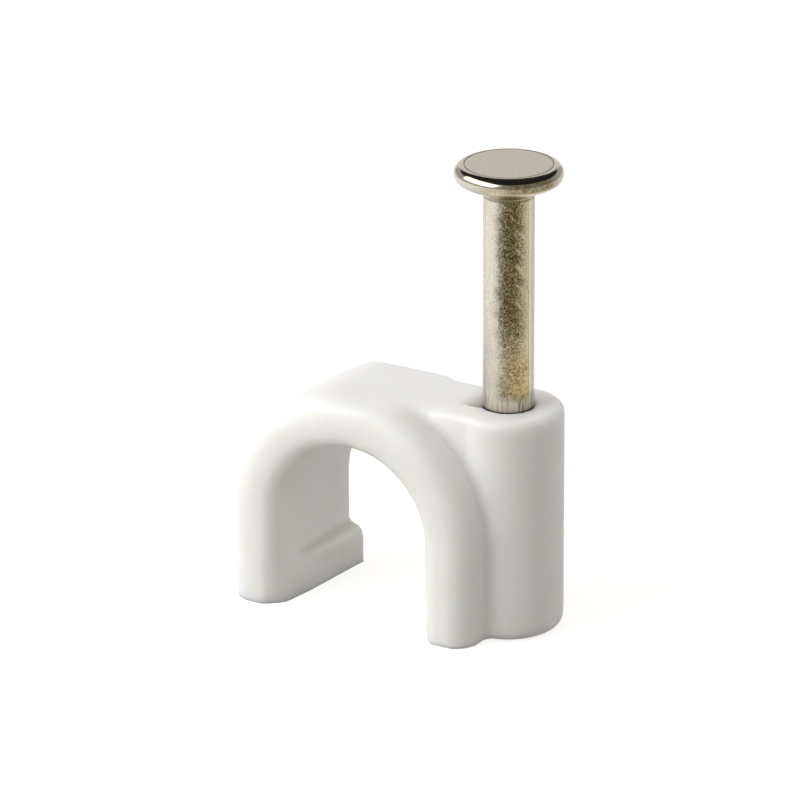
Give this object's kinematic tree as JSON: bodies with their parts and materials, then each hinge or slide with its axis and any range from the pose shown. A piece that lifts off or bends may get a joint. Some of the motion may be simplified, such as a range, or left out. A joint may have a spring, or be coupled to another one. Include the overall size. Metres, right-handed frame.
{
  "type": "nail-in cable clip",
  "caption": "Moulded saddle clip that holds a round cable against a wall, with a boss on one side that carries a steel nail ready to be driven.",
  "frame": {"origin": "middle of the footprint, on the wall plane", "axes": "+Z away from the wall along the nail, +Y along the cable, +X from the free leg to the nail"},
  "size_m": [0.0136, 0.006, 0.0199],
  "materials": {
    "clip_plastic": "satin white moulding",
    "nail_steel": "plated steel, worn warm grey"
  },
  "bodies": {
    "root": {"clip": "clip_plastic", "nail": "nail_steel"}
  },
  "joints": []
}
